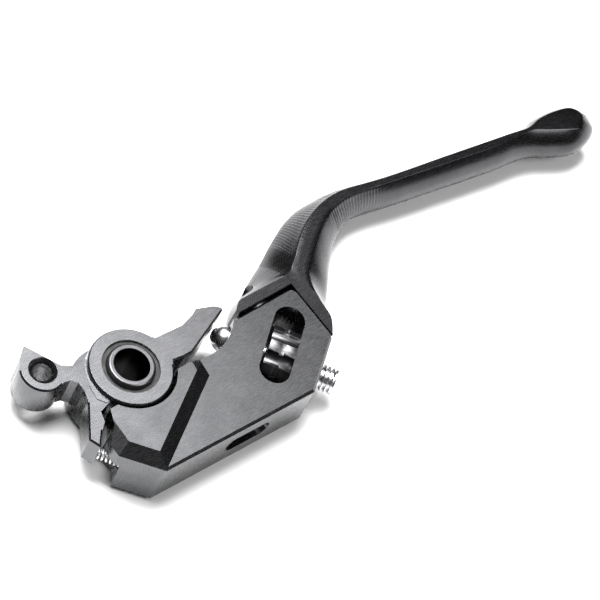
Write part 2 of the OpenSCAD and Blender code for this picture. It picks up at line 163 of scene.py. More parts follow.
class LeverFinishes(bpy.types.PropertyGroup):
    """Colours and gloss of the lever's finishes."""

    anodised: bpy.props.FloatVectorProperty(
        name="Black Anodise", description="Colour of the milled black pieces",
        default=(0.100, 0.101, 0.105), min=0.0, max=1.0, subtype="COLOR")
    anodised_gloss: bpy.props.FloatProperty(
        name="Anodise Roughness", description="Roughness of the milled black pieces",
        default=0.25, min=0.05, max=0.9, subtype="FACTOR")
    grip: bpy.props.FloatVectorProperty(
        name="Grip Anodise", description="Colour of the finger blade",
        default=(0.050, 0.050, 0.053), min=0.0, max=1.0, subtype="COLOR")
    bush: bpy.props.FloatVectorProperty(
        name="Pivot Bush", description="Colour of the blackened pivot bush",
        default=(0.105, 0.105, 0.110), min=0.0, max=1.0, subtype="COLOR")
    steel: bpy.props.FloatVectorProperty(
        name="Bright Steel", description="Colour of the spindle, ball and springs",
        default=(0.74, 0.74, 0.75), min=0.0, max=1.0, subtype="COLOR")
    wheel: bpy.props.FloatVectorProperty(
        name="Adjuster Wheel", description="Colour of the polished adjuster wheel",
        default=(0.075, 0.075, 0.078), min=0.0, max=1.0, subtype="COLOR")
    bronze: bpy.props.FloatVectorProperty(
        name="Bearing Bronze", description="Colour of the bearings and washers",
        default=(0.50, 0.33, 0.16), min=0.0, max=1.0, subtype="COLOR")
    rubber: bpy.props.FloatVectorProperty(
        name="Seal Rubber", description="Colour of the seals and the buffer",
        default=(0.018, 0.018, 0.018), min=0.0, max=1.0, subtype="COLOR")


class LeverStage(bpy.types.PropertyGroup):
    """Floor, lights and camera."""

    floor: bpy.props.FloatVectorProperty(
        name="Floor", description="Colour of the floor",
        default=(0.86, 0.86, 0.86), min=0.0, max=1.0, subtype="COLOR")
    key_power: bpy.props.FloatProperty(
        name="Overhead Light", description="Power of the overhead soft light",
        default=30.0, min=0.0, max=400.0, unit="POWER")
    card_power: bpy.props.FloatProperty(
        name="Card Light", description="Power of the faint panel that the flat tops mirror",
        default=0.42, min=0.0, max=400.0, unit="POWER")
    front_power: bpy.props.FloatProperty(
        name="Front Light", description="Power of the soft light that opens the shadows in front",
        default=5.5, min=0.0, max=400.0, unit="POWER")
    lens: bpy.props.FloatProperty(
        name="Lens", description="Focal length on a 36 mm sensor", default=208.35, min=20.0, max=400.0,
        unit="CAMERA")


def sizes():
    """The size settings of this scene."""
    return bpy.context.scene.lever_sizes


def finishes():
    """The finish settings of this scene."""
    return bpy.context.scene.lever_finishes


def stage_settings():
    """The stage settings of this scene."""
    return bpy.context.scene.lever_stage


# ---- shader expressions ----
# A ring wave of scale 1 repeats every 0.314 m.
RING_SPACING = 0.314


class Term:
    """A shader socket that can be used in Python arithmetic."""

    def __init__(self, look, socket):
        self.look = look
        self.socket = socket

    def _math(self, operation, first, second):
        return self.look.node("ShaderNodeMath", {"operation": operation}, {0: first, 1: second})

    def __add__(self, other):
        return self._math("ADD", self, other)

    def __radd__(self, other):
        return self._math("ADD", other, self)

    def __sub__(self, other):
        return self._math("SUBTRACT", self, other)

    def __rsub__(self, other):
        return self._math("SUBTRACT", other, self)

    def __mul__(self, other):
        return self._math("MULTIPLY", self, other)

    def __rmul__(self, other):
        return self._math("MULTIPLY", other, self)

    def clamped(self):
        """The value held between 0 and 1."""
        return self.look.node(
            "ShaderNodeClamp", {}, {"Value": self, "Min": 0.0, "Max": 1.0})


class Look:
    """One material and the nodes in it."""

    def __init__(self, name):
        self.material = bpy.data.materials.new(name)
        self.material.use_nodes = True
        self.tree = self.material.node_tree
        self.shader = self.tree.nodes["Principled BSDF"]

    @classmethod
    def of(cls, material):
        """The look of a material already made."""
        look = cls.__new__(cls)
        look.material = material
        look.tree = material.node_tree
        look.shader = look.tree.nodes["Principled BSDF"]
        return look

    def node(self, kind, settings, inputs, output=0):
        """Adds a node, sets it up, links or fills its sockets, and gives one output."""
        made = self.tree.nodes.new(kind)
        for key, value in settings.items():
            setattr(made, key, value)
        for key, value in inputs.items():
            self.fill(made.inputs[key], value)
        return Term(self, made.outputs[output])

    def fill(self, socket, value):
        """Links a Term to a socket, or sets the socket's own value."""
        if isinstance(value, Term):
            self.tree.links.new(value.socket, socket)
        else:
            socket.default_value = value

    def set(self, **values):
        """Sets the shader's sockets, with _ for a space in the name."""
        for key, value in values.items():
            self.fill(self.shader.inputs[key.replace("_", " ")], value)

    def place(self):
        """Position on the piece, in metres."""
        return self.node("ShaderNodeTexCoord", {}, {}, "Object")

    def noise(self, size, detail=3.0, rough=0.5, stretch=None):
        """Cloudy value from 0 to 1, with blobs of that size in metres."""
        where = self.place()
        if stretch is not None:
            where = self.node(
                "ShaderNodeMapping", {}, {"Vector": where, "Rotation": stretch[0], "Scale": stretch[1]})
        return self.node("ShaderNodeTexNoise", {}, {
            "Vector": where, "Scale": 1.0 / size, "Detail": detail, "Roughness": rough})

    def remap(self, value, low, high, to_low, to_high):
        """Maps a value from one span to another."""
        return self.node("ShaderNodeMapRange", {"clamp": True}, {
            "Value": value, "From Min": low, "From Max": high, "To Min": to_low, "To Max": to_high})

    def mix(self, factor, first, second):
        """A colour between two colours."""
        return self.node("ShaderNodeMix", {"data_type": "RGBA"}, {
            "Factor": factor, 6: first, 7: second}, 2)

    def bump(self, height, strength, distance):
        """Normal disturbed by a height."""
        return self.node("ShaderNodeBump", {}, {
            "Height": height, "Strength": strength, "Distance": distance})

    def edge_wear_highlight_mask(self, radius, strength):
        """Mask that is high on the outer edges of a piece, for edge wear and a painted edge highlight."""
        soft = self.node("ShaderNodeBevel", {"samples": 4}, {"Radius": radius})
        true = self.node("ShaderNodeNewGeometry", {}, {}, "Normal")
        along = self.node("ShaderNodeVectorMath", {"operation": "DOT_PRODUCT"}, {0: soft, 1: true}, "Value")
        return ((1.0 - along) * strength).clamped()


def rgba(colour, share=1.0):
    """Colour scaled and given its alpha."""
    return tuple(c * share for c in colour) + (1.0,)


def milled_black(name, colour, rough, centre, pitch, line=0.10):
    """Anodised aluminium with cutter arcs round a centre, fine grain, and edges lightened partly as wear
    and partly as a painted highlight.
    """
    look = Look(name)
    centred = look.node("ShaderNodeMapping", {"vector_type": "POINT"}, {
        "Vector": look.place(), "Location": centre})
    arcs = look.node("ShaderNodeTexWave", {"wave_type": "RINGS", "rings_direction": "Z"}, {
        "Vector": centred, "Scale": RING_SPACING / pitch, "Distortion": 1.2, "Detail": 2.0,
        "Detail Scale": 3.0}, "Fac")
    grain = look.noise(0.00022, 2.0)
    cloud = look.noise(0.006, 3.0)
    smear = look.noise(0.0017, 4.0, 0.6, ((0.0, 0.0, 0.5), (1.0, 5.0, 1.0)))
    wear_highlight = look.edge_wear_highlight_mask(0.00016, 2.6) * look.remap(look.noise(0.0013, 3.0), 0.35, 0.62, 0.25, 1.0)
    base = look.mix(look.remap(cloud, 0.3, 0.7, 0.0, 1.0), rgba(colour, 0.90), rgba(colour, 1.12))
    # edges lightened towards grey in patches: partly wear, partly a painted edge highlight
    base = look.mix(wear_highlight * 0.08, base, rgba((0.45, 0.45, 0.47)))
    roughness = (rough - 0.5 * line + arcs * line * 0.6 + grain * line * 0.5
                 + look.remap(smear, 0.3, 0.75, -0.03, 0.06) - wear_highlight * 0.04)
    height = arcs * 0.55 + grain * 0.9 + smear * 0.3
    look.set(Base_Color=base, Metallic=1.0, Roughness=roughness,
             Normal=look.bump(height, 0.035, 0.00004))
    return look.material


def turned_metal(name, colour, rough, axis, centre, pitch, wear_highlight_colour=(0.75, 0.75, 0.76)):
    """Turned or ground metal with fine rings round an axis ("X", "Y" or "Z")."""
    look = Look(name)
    centred = look.node("ShaderNodeMapping", {"vector_type": "POINT"}, {
        "Vector": look.place(), "Location": centre})
    rings = look.node("ShaderNodeTexWave", {"wave_type": "RINGS", "rings_direction": axis}, {
        "Vector": centred, "Scale": RING_SPACING / pitch, "Distortion": 0.8, "Detail": 2.0,
        "Detail Scale": 2.0}, "Fac")
    grain = look.noise(0.00015, 2.0)
    cloud = look.noise(0.002, 4.0)
    wear_highlight = look.edge_wear_highlight_mask(0.00018, 2.4)
    base = look.mix(look.remap(cloud, 0.3, 0.7, 0.0, 1.0), rgba(colour, 0.86), rgba(colour, 1.10))
    # edges lightened towards a paler colour: partly wear, partly a painted edge highlight
    base = look.mix(wear_highlight * 0.5, base, rgba(wear_highlight_colour))
    roughness = rough - 0.04 + rings * 0.05 + grain * 0.05 + look.remap(cloud, 0.3, 0.7, -0.03, 0.04)
    look.set(Base_Color=base, Metallic=1.0, Roughness=roughness,
             Normal=look.bump(rings * 0.6 + grain * 0.6, 0.18, 0.00004))
    return look.material


def moulded_rubber(name, colour):
    """Matt rubber with a fine moulded grain."""
    look = Look(name)
    grain = look.noise(0.00018, 3.0, 0.7)
    dust = look.noise(0.0012, 4.0, 0.6)
    base = look.mix(look.remap(dust, 0.45, 0.8, 0.0, 1.0), rgba(colour), rgba((0.06, 0.06, 0.058)))
    look.set(Base_Color=base, Metallic=0.0, Roughness=0.62 + grain * 0.2 + dust * 0.08,
             Normal=look.bump(grain, 0.35, 0.00008))
    return look.material


def sintered_bronze(name, colour):
    """Oil-filled sintered bronze with open pores."""
    look = Look(name)
    pores = look.node("ShaderNodeTexVoronoi", {"feature": "F1"}, {
        "Vector": look.place(), "Scale": 1.0 / 0.00035})
    tint = look.noise(0.0016, 4.0)
    pit = look.remap(pores, 0.1, 0.45, 1.0, 0.0)
    base = look.mix(look.remap(tint, 0.3, 0.7, 0.0, 1.0), rgba(colour, 0.75), rgba(colour, 1.15))
    base = look.mix(pit * 0.6, base, rgba(colour, 0.22))
    look.set(Base_Color=base, Metallic=1.0, Roughness=0.34 + pit * 0.25 + tint * 0.1,
             Normal=look.bump(1.0 - pit, 0.4, 0.00006))
    return look.material


def matt_floor(name, colour):
    """Pale matt floor with a trace of paper texture."""
    look = Look(name)
    tooth = look.noise(0.0012, 3.0, 0.6)
    base = look.mix(look.remap(tooth, 0.3, 0.7, 0.0, 1.0), rgba(colour, 0.995), rgba(colour, 1.005))
    look.set(Base_Color=base, Metallic=0.0, Roughness=0.88 + tooth * 0.06,
             Normal=look.bump(tooth, 0.02, 0.00005))
    look.shader.inputs["Specular IOR Level"].default_value = 0.15
    return look.material


# ---- mesh helpers ----
def add_mesh(name, points, faces, smooth=True):
    """A new object in the scene from points in metres and faces."""
    mesh = bpy.data.meshes.new(name)
    mesh.from_pydata([tuple(p) for p in points], [], faces)
    mesh.validate()
    mesh.update()
    made = bpy.data.objects.new(name, mesh)
    bpy.context.scene.collection.objects.link(made)
    mesh.polygons.foreach_set("use_smooth", [smooth] * len(mesh.polygons))
    return made


def loft(name, rings, capped=True):
    """Skin over closed rings of points, closed at both ends if capped."""
    count = len(rings[0])
    points = [p for ring in rings for p in ring]
    faces = []
    for r in range(len(rings) - 1):
        base, above = r * count, (r + 1) * count
        for i in range(count):
            j = (i + 1) % count
            faces.append((base + i, base + j, above + j, above + i))
    if capped:
        faces.append(tuple(reversed(range(count))))
        faces.append(tuple(range((len(rings) - 1) * count, len(rings) * count)))
    made = add_mesh(name, points, faces)
    outward(made)
    return made


def outward(made, merge=1e-7):
    """Merges doubled points and turns every face outwards."""
    work = bmesh.new()
    work.from_mesh(made.data)
    bmesh.ops.remove_doubles(work, verts=work.verts, dist=merge)
    bmesh.ops.recalc_face_normals(work, faces=work.faces)
    work.to_mesh(made.data)
    work.free()


def axis_frame(origin, axis):
    """Matrix whose local Z lies along axis at origin."""
    return Matrix.Translation(origin) @ axis.to_track_quat("Z", "Y").to_matrix().to_4x4()


def round_rings(profile, place, segments):
    """Circles about local Z through (radius, height) points, set at a matrix."""
    rings = []
    for radius, height in profile:
        ring = []
        for i in range(segments):
            a = 2 * math.pi * i / segments
            ring.append(place @ Vector((radius * math.cos(a), radius * math.sin(a), height)))
        rings.append(ring)
    return rings


def turned(name, profile, place, segments=64):
    """Solid of revolution about local Z from (radius, height) points, set at a matrix."""
    return loft(name, round_rings(profile, place, segments))


def coil(name, place, radius, wire, length, turns, sides=10, steps=22, ground=1.0):
    """Round-wire coil about local Z, with its end turns closed up."""
    rings = []
    total = int(turns * steps)
    for i in range(total + 1):
        t = i / total
        a = 2 * math.pi * turns * t
        dead = ground / turns
        if t < dead:
            climb = 0.25 * t * t / dead
        elif t > 1 - dead:
            climb = 1 - 0.25 * (1 - t) * (1 - t) / dead
        else:
            edge = 0.25 * dead
            climb = edge + (1 - 2 * edge) * (t - dead) / (1 - 2 * dead)
        z = wire / 2 + (length - wire) * climb
        out = Vector((math.cos(a), math.sin(a), 0))
        centre = out * radius
        centre.z = z
        ring = []
        for k in range(sides):
            b = 2 * math.pi * k / sides
            ring.append(place @ (centre + out * (wire / 2 * math.cos(b))
                                 + Vector((0, 0, wire / 2 * math.sin(b)))))
        rings.append(ring)
    return loft(name, rings)


def threaded(place, radius, depth, pitch, start, end, inside=False, per_pitch=8):
    """Rings of a screw thread about local Z from start to end, with run-outs at both ends."""
    rows = int((end - start) / pitch * per_pitch)
    rings = []
    for r in range(rows + 1):
        z = start + (end - start) * r / rows
        fade = min(1.0, (z - start) / pitch, (end - z) / pitch)
        ring = []
        for i in range(THREAD_SEGMENTS):
            a = 2 * math.pi * i / THREAD_SEGMENTS
            phase = (z / pitch - i / THREAD_SEGMENTS) % 1.0
            tooth = min(1.0, max(0.0, 1.25 * (1 - abs(2 * phase - 1)) - 0.12))
            drop = depth * (1 - tooth) * max(0.0, fade)
            rho = radius + drop - depth if inside else radius - drop
            ring.append(place @ Vector((rho * math.cos(a), rho * math.sin(a), z)))
        rings.append(ring)
    return rings


def boolean(made, others, operation):
    """Combines a mesh with others and removes them."""
    for other in others:
        step = made.modifiers.new("combine", "BOOLEAN")
        step.operation = operation
        step.solver = "EXACT"
        step.object = other
        bpy.context.view_layer.update()
        graph = bpy.context.evaluated_depsgraph_get()
        fresh = bpy.data.meshes.new_from_object(made.evaluated_get(graph))
        made.modifiers.clear()
        if len(fresh.polygons) < 4:
            raise RuntimeError("nothing left of " + made.name)
        made.data = fresh
        bpy.data.objects.remove(other)


def dress(made, material, body=None, replaced=()):
    """Gives a piece its material, hangs it on the empty of the body it rides on, and hides the CAD parts it
    stands for.
    """
    made.data.materials.clear()
    made.data.materials.append(material)
    if body is not None:
        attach(made, body)
    if replaced:
        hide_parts(*replaced)


def finish_node(name, material, round_width=0.0, angle=28.0):
    """Material and broken edges for a CAD node, whose own mesh stays as it is."""
    node = frame["nodes"][name]
    node.data.materials.clear()
    node.data.materials.append(material)
    if round_width > 0:
        weld = node.modifiers.new("weld", "WELD")
        weld.merge_threshold = 2e-6
        flat = node.modifiers.new("flat", "DECIMATE")
        flat.decimate_type = "DISSOLVE"
        flat.angle_limit = math.radians(0.4)
        bevel = node.modifiers.new("edges", "BEVEL")
        bevel.width = round_width
        bevel.segments = 2
        bevel.limit_method = "ANGLE"
        bevel.angle_limit = math.radians(angle)
        bevel.harden_normals = True
        bevel.use_clamp_overlap = True
        bevel.miter_outer = "MITER_ARC"


# ---- finger blade ----
# Guide points of the blade in mm, seen from above: left and right edge of the flat top,
# left and right outline at mid height, then the half height and the side's fullness.
BLADE_STATIONS = [
    ((47.45, 1.9), (47.45, -15.9), (47.45, 8.7), (47.45, -16.2), 6.1, 1.35),
    ((48.8, 2.0), (50.2, -12.1), (48.6, 9.3), (50.6, -12.7), 6.1, 1.35),
    ((49.8, 2.3), (50.8, -7.6), (50.0, 10.0), (53.0, -9.4), 6.1, 1.35),
    ((51.0, 3.2), (51.6, -3.4), (51.8, 11.0), (55.0, -7.2), 6.1, 1.35),
    ((53.0, 4.6), (53.3, 0.1), (53.8, 12.0), (57.0, -5.2), 6.1, 1.35),
    ((55.5, 6.6), (56.8, 2.8), (56.5, 13.3), (59.4, -2.8), 6.1, 1.35),
    ((60.0, 9.8), (61.5, 6.3), (60.5, 15.0), (62.8, 0.7), 6.1, 1.35),
    ((65.1, 12.0), (66.3, 9.1), (65.0, 16.1), (67.6, 4.9), 6.1, 1.4),
    ((70.2, 13.2), (71.0, 10.5), (70.0, 16.2), (72.4, 7.4), 6.05, 1.5),
    ((75.5, 13.2), (76.0, 10.9), (75.5, 15.7), (76.6, 8.4), 6.0, 1.7),
    ((82.0, 11.9), (82.0, 10.2), (82.0, 14.0), (82.0, 7.9), 5.9, 2.0),
    ((90.0, 10.5), (90.0, 9.0), (90.0, 12.4), (90.0, 6.3), 5.8, 2.0),
    ((105.0, 8.4), (105.0, 6.7), (105.0, 10.1), (105.0, 3.9), 5.75, 2.0),
    ((118.0, 6.5), (118.0, 4.7), (118.0, 8.1), (118.0, 1.9), 5.7, 2.0),
    ((124.0, 5.6), (124.0, 4.3), (124.0, 7.3), (124.0, 1.3), 5.7, 2.0),
    ((129.0, 4.8), (129.0, 3.9), (129.0, 6.8), (129.0, 0.2), 5.7, 2.0),
    ((133.5, 5.5), (132.8, 2.1), (133.0, 7.4), (132.6, -1.6), 5.7, 2.0),
    ((138.0, 5.2), (137.5, -0.2), (138.6, 7.5), (138.2, -4.0), 5.7, 2.0),
    ((141.8, 4.4), (140.6, -1.6), (144.0, 6.1), (143.2, -4.0), 5.65, 2.0),
    ((143.4, 3.0), (142.4, -0.6), (147.0, 3.9), (147.0, -2.4), 5.6, 2.0),
    ((143.9, 1.4), (143.8, 1.0), (148.0, 1.2), (148.0, 0.6), 5.6, 2.0),
]
# Height of the blade's middle, in mm.
BLADE_MIDDLE = 6.1
# Steps down each side of the blade.
SIDE_STEPS = 9
# Stations between which the ribs show, on the left and on the right.
LEFT_RIBS = (3.6, 9.6)
RIGHT_RIBS = (7.2, 10.6)
# Where the blade's sections stand close together, and their spacing there and elsewhere.
CLOSE_SPAN = (3.4, 10.8)
CLOSE_STEP = 0.028
WIDE_STEP = 0.11
# The ear in mm: place along the lever, then how far out its rims and its middle stand.
EAR_STATIONS = [
    (31.7, 0.35, 0.5), (32.4, 1.0, 1.5), (33.4, 1.75, 2.4), (34.4, 2.1, 3.1),
    (37.0, 2.1, 4.3), (41.0, 2.05, 5.8), (44.5, 2.0, 7.4), (47.6, 1.9, 8.75),
]
EAR_INNER = -0.7
EAR_HEIGHT = 12.2


def smooth_value(values, at):
    """Catmull-Rom value of a list at a fractional place."""
    last = len(values) - 1
    i = min(int(at), last - 1)
    t = at - i
    p0, p1 = values[max(i - 1, 0)], values[i]
    p2, p3 = values[i + 1], values[min(i + 2, last)]
    return 0.5 * (2 * p1 + (p2 - p0) * t + (2 * p0 - 5 * p1 + 4 * p2 - p3) * t * t
                  + (3 * p1 - p0 - 3 * p2 + p3) * t ** 3)


def station_at(at):
    """Guide points of the blade at a fractional station."""
    corners = []
    for k in range(4):
        corners.append(Vector([smooth_value([s[k][c] for s in BLADE_STATIONS], at) for c in range(2)]))
    return corners, smooth_value([s[4] for s in BLADE_STATIONS], at), smooth_value(
        [s[5] for s in BLADE_STATIONS], at)


def rib_mask(at, span, u):
    """How strongly the ribs show at a station and a place down the side."""
    into = min(1.0, max(0.0, (at - span[0]) * 2.2))
    out = min(1.0, max(0.0, (span[1] - at) * 1.8))
    down = min(1.0, u * 9) * min(1.0, max(0.0, (0.98 - u) * 5))
    return into * out * down


def side_points(top, middle, half, full, at, travel, span, edge, pitch, depth):
    """Points down one side of the blade, from the top edge to mid height."""
    across = middle - top
    reach = max(across.length, 1e-6)
    points = []
    for k in range(SIDE_STEPS + 1):
        u = k / SIDE_STEPS
        lift = 1 - (1 - u) ** full
        sunk = depth * rib_mask(at, span, u) * abs(math.sin(math.pi * travel / pitch)) ** 0.7
        spot = top + across * lift - across / reach * sunk * 0.7
        points.append(Vector((spot.x, spot.y, half * (1 - u) - sunk * 0.7)))
    # broken edge beside the flat top
    start = points[0]
    inner = start - Vector((across.x, across.y, 0)) / reach * edge * 0.6
    outer = start.lerp(points[1], min(0.8, edge / max((points[1] - start).length, 1e-6)))
    return [inner, (inner + outer) * 0.5 + Vector((0, 0, edge * 0.12)), outer] + points[1:]


def blade_ring(at, left_travel, right_travel, edge, pitch, depth):
    """Closed section of the blade at a station."""
    (tl, tr, ml, mr), half, full = station_at(at)
    width = (tl - tr).length
    edge = min(edge, width * 0.3)
    left = side_points(tl, ml, half, full, at, left_travel, LEFT_RIBS, edge, pitch, depth)
    right = side_points(tr, mr, half, full, at, right_travel, RIGHT_RIBS, edge, pitch, depth)
    top = list(reversed(left)) + [left[0].lerp(right[0], k / 3) for k in (1, 2)] + right
    under = [Vector((p.x, p.y, -p.z)) for p in reversed(top[1:-1])]
    return [Vector((p.x, p.y, p.z + BLADE_MIDDLE)) * MM for p in top + under]


def blade_run():
    """Skin of the blade from its stop face to its tip."""
    s = sizes()
    edge, pitch, depth = s.blade_edge / MM, s.rib_pitch / MM, s.rib_depth / MM
    stops = []
    at, last = 0.0, len(BLADE_STATIONS) - 1
    while at < last:
        stops.append(at)
        at += CLOSE_STEP if CLOSE_SPAN[0] < at < CLOSE_SPAN[1] else WIDE_STEP
    stops.append(last)
    rings = []
    left_travel = right_travel = 0.0
    old = None
    for at in stops:
        (tl, tr, ml, mr), _, _ = station_at(at)
        middles = ((tl + ml) / 2, (tr + mr) / 2)
        if old is not None:
            left_travel += (middles[0] - old[0]).length
            right_travel += (middles[1] - old[1]).length
        old = middles
        rings.append(blade_ring(at, left_travel, right_travel, edge, pitch, depth))
    return loft("finger_blade_shell", rings)


def ear():
    """Skin of the ear that lies beside the body's flank."""
    rings = []
    for x, outer, wide in EAR_STATIONS:
        ring = []
        for y, z in ((EAR_INNER, 0.2), (EAR_INNER + 0.2, 0), (outer - 0.15, 0), (outer, 0.15)):
            ring.append(Vector((x, y, z)))
        for k in range(1, 16):
            u = abs(2 * k / 16 - 1)
            ring.append(Vector((x, outer + (wide - outer) * (1 - u ** 1.35), EAR_HEIGHT * k / 16)))
        for y, z in ((outer, EAR_HEIGHT - 0.15), (outer - 0.15, EAR_HEIGHT),
                     (EAR_INNER + 0.2, EAR_HEIGHT), (EAR_INNER, EAR_HEIGHT - 0.2)):
            ring.append(Vector((x, y, z)))
        rings.append([p * MM for p in ring])
    return loft("ear_skin", rings)


class LEVER_OT_blade(bpy.types.Operator):
    """Build the finger blade with its flat top, ribbed neck and paddle end"""

    bl_idname = "lever.blade"
    bl_label = "Finger Blade"

    def execute(self, context):
        blade = blade_run()
        boolean(blade, [ear()], "UNION")
        fold = axis_frame(Vector((FOLD.x, 0, FOLD.z)), Vector((0, -1, 0)))
        relief = turned("relief", [(FOLD_RELIEF_RADIUS * MM, FOLD_RELIEF_START * MM),
                                   (FOLD_RELIEF_RADIUS * MM, 2 * CUT_REACH * MM)], fold, 160)
        bore = turned("bore", [(FOLD_BORE_RADIUS * MM, -CUT_REACH * MM),
                               (FOLD_BORE_RADIUS * MM, CUT_REACH * MM)], fold)
        seat = turned("seat", [(HEAD_SEAT_RADIUS * MM, -CUT_REACH * MM),
                               (HEAD_SEAT_RADIUS * MM, -HEAD_SEAT_FLOOR * MM)], fold)
        boolean(blade, [relief, bore, seat], "DIFFERENCE")
        outward(blade)
        blade.data.shade_smooth()
        smooth_by_angle(blade, 26)
        f = finishes()
        look = milled_black("blade_anodise", f.grip, f.anodised_gloss, (-0.10, 0.05, 0.0), 0.0005, 0.05)
        dress(blade, look, "blade", ["finger_blade"])
        return {"FINISHED"}


def smooth_by_angle(made, degrees):
    """Marks the edges sharper than an angle as sharp."""
    work = bmesh.new()
    work.from_mesh(made.data)
    limit = math.radians(degrees)
    for edge in work.edges:
        if len(edge.link_faces) == 2:
            edge.smooth = edge.calc_face_angle(0.0) < limit
    for face in work.faces:
        face.smooth = True
    work.to_mesh(made.data)
    work.free()


class LEVER_OT_body(bpy.types.Operator):
    """Finish the milled lever body"""

    bl_idname = "lever.body"
    bl_label = "Lever Body"

    def execute(self, context):
        f = finishes()
        look = milled_black("body_anodise", f.anodised, f.anodised_gloss, (0.03, 0.06, 0.0), 0.00045, 0.05)
        finish_node("lever_body", look, sizes().edge_round)
        return {"FINISHED"}


class LEVER_OT_actuator(bpy.types.Operator):
    """Finish the stop ring and the push arm, and cut the hook's thread"""

    bl_idname = "lever.actuator"
    bl_label = "Stop Ring and Push Arm"

    def execute(self, context):
        f = finishes()
        ring = milled_black("ring_anodise", [c * 1.25 for c in f.anodised], f.anodised_gloss,
                            (0.0, 0.0, 0.0), 0.0004, 0.08)
        arm = milled_black("arm_anodise", [c * 1.1 for c in f.anodised], f.anodised_gloss,
                           (0.02, -0.01, 0.0), 0.0004, 0.08)
        finish_node("stop_ring", ring, sizes().edge_round)
        finish_node("push_arm", arm, sizes().edge_round)
        low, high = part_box("push_arm")
        middle = Vector((*HOOK_MIDDLE, 0)) * MM
        rings = threaded(Matrix.Translation(middle), HOOK_THREAD_RADIUS * MM, HOOK_THREAD_DEPTH * MM,
                         HOOK_THREAD_PITCH * MM, low.z + 0.3 * MM, high.z - 0.9 * MM, inside=True)
        made = loft("hook_thread", rings, capped=False)
        flip_inwards(made)
        steel = turned_metal("hook_thread_metal", [c * 0.5 for c in f.steel], 0.3, "Z",
                             tuple(-middle), 0.0002)
        dress(made, steel, "actuator")
        return {"FINISHED"}


def flip_inwards(made):
    """Turns the faces of an open tube to its inside."""
    work = bmesh.new()
    work.from_mesh(made.data)
    work.faces.ensure_lookup_table()
    middle = sum((v.co for v in work.verts), Vector()) / len(work.verts)
    face = work.faces[len(work.faces) // 2]
    inward = face.normal.dot(middle - face.calc_center_median())
    if inward < 0:
        bmesh.ops.reverse_faces(work, faces=work.faces)
    work.to_mesh(made.data)
    work.free()


def paint_bore_shade(material):
    """Paints shade on the wall of the pivot bush's bore, so that it looks nearly black."""
    look = Look.of(material)
    flat = look.node("ShaderNodeVectorMath", {"operation": "MULTIPLY"}, {
        0: look.place(), 1: (1.0, 1.0, 0.0)})
    radius = look.node("ShaderNodeVectorMath", {"operation": "LENGTH"}, {0: flat}, "Value")
    # near-black painted shade, full inside the bore's radius and fading out just past it
    bore_shade = look.remap(radius, BORE_SHADE_FADE[0] * MM, BORE_SHADE_FADE[1] * MM, 1.0, 0.0)
    old = Term(look, look.shader.inputs["Base Color"].links[0].from_socket)
    look.set(Base_Color=look.mix(bore_shade, old, (0.004, 0.004, 0.004, 1.0)))


class LEVER_OT_pivot(bpy.types.Operator):
    """Finish the pivot bush and its seal, bearings and washer"""

    bl_idname = "lever.pivot"
    bl_label = "Pivot Parts"

    def execute(self, context):
        f = finishes()
        bush = turned_metal("bush_oxide", f.bush, 0.30, "Z", (0, 0, 0), 0.0003, wear_highlight_colour=(0.22, 0.22, 0.23))
        # painted shade in the bush's bore
        paint_bore_shade(bush)
        finish_node("pivot_bush", bush, BUSH_EDGE)
        rubber = moulded_rubber("seal_rubber", f.rubber)
        for name in ("dust_seal", "spindle_seal", "blade_buffer"):
            finish_node(name, rubber, SMALL_EDGE)
        bronze = sintered_bronze("bearing_bronze", f.bronze)
        for name in ("ring_bearing_upper", "ring_bearing_lower", "hub_bearing", "thrust_washer"):
            finish_node(name, bronze)
        oxide = turned_metal("fold_oxide", [c * 0.3 for c in f.bush], 0.4, "Y", tuple(-FOLD), 0.0003,
                             wear_highlight_colour=(0.1, 0.1, 0.1))
        finish_node("fold_washer", oxide)
        finish_node("fold_pivot_screw", oxide, SMALL_EDGE)
        return {"FINISHED"}


class LEVER_OT_wheel(bpy.types.Operator):
    """Finish the scalloped adjuster wheel and its grub screw"""

    bl_idname = "lever.wheel"
    bl_label = "Adjuster Wheel"

    def execute(self, context):
        f = finishes()
        wheel = turned_metal("wheel_polish", f.wheel, 0.36, "X", tuple(-WHEEL_MIDDLE), 0.0004)
        finish_node("adjuster_wheel", wheel, WHEEL_EDGE, 40.0)
        screw = turned_metal("screw_zinc", f.steel, 0.3, "Z", (0, 0, 0), 0.0003)
        finish_node("wheel_grub_screw", screw)
        return {"FINISHED"}


def key_flat(ball):
    """Block that cuts the flat under the spindle, on which the key pin bears."""
    side = SPINDLE_AXIS.cross(Vector((0, 0, 1)))
    corners = ((-5, FLAT_DROP), (5, FLAT_DROP), (5, FLAT_DROP + 5), (-5, FLAT_DROP + 5))
    rings = []
    for along in FLAT_SPAN:
        middle = ball + SPINDLE_AXIS * along * MM
        rings.append([middle + side * across * MM - Vector((0, 0, drop * MM)) for across, drop in corners])
    return loft("flat_block", rings)


